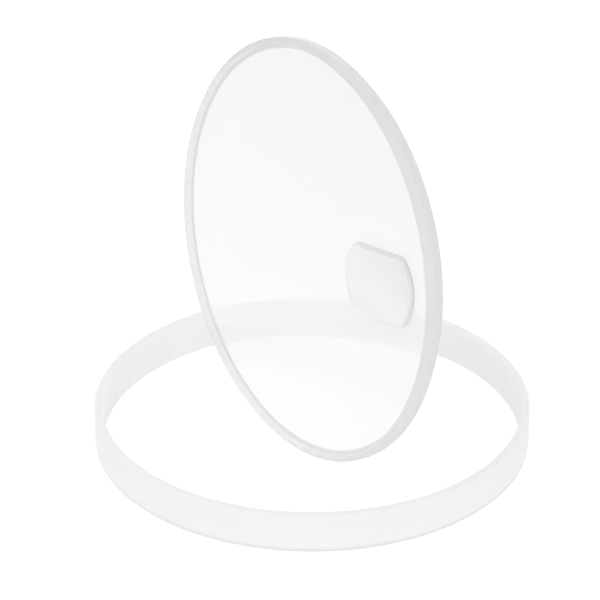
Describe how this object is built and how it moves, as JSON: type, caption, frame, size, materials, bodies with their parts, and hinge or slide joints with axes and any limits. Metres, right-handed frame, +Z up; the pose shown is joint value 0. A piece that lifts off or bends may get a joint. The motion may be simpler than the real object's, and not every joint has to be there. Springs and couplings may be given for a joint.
{
  "type": "watch crystal with date magnifier and gasket",
  "caption": "Flat round watch crystal with ground bevelled rim and a small domed date magnifier, standing on edge in its thin translucent white gasket ring.",
  "frame": {"origin": "on the gasket's axis, in the plane of its foot, which is the surface the set stands on", "axes": "+Z up along the gasket's axis; -Y is the side that the crystal's outer face and its magnifier look to; +X is to the right as one looks at that face"},
  "size_m": [0.0316, 0.0316, 0.0304],
  "materials": {
    "gasket_plastic": "satin, translucent white, as moulded",
    "crystal_glass": "polished clear faces, finely ground rim and bevels",
    "optical_cement": "clear cured film",
    "magnifier_glass": "polished clear dome, finely ground walls"
  },
  "bodies": {
    "gasket": {"gasket": "gasket_plastic"},
    "crystal": {"crystal": "crystal_glass", "magnifier_cement": "optical_cement", "magnifier": "magnifier_glass"}
  },
  "joints": [
    {"name": "crystal_lift", "type": "slide", "parent": "gasket", "child": "crystal", "axis": [0, 0, 1], "range_m": [0, 0.008]}
  ]
}
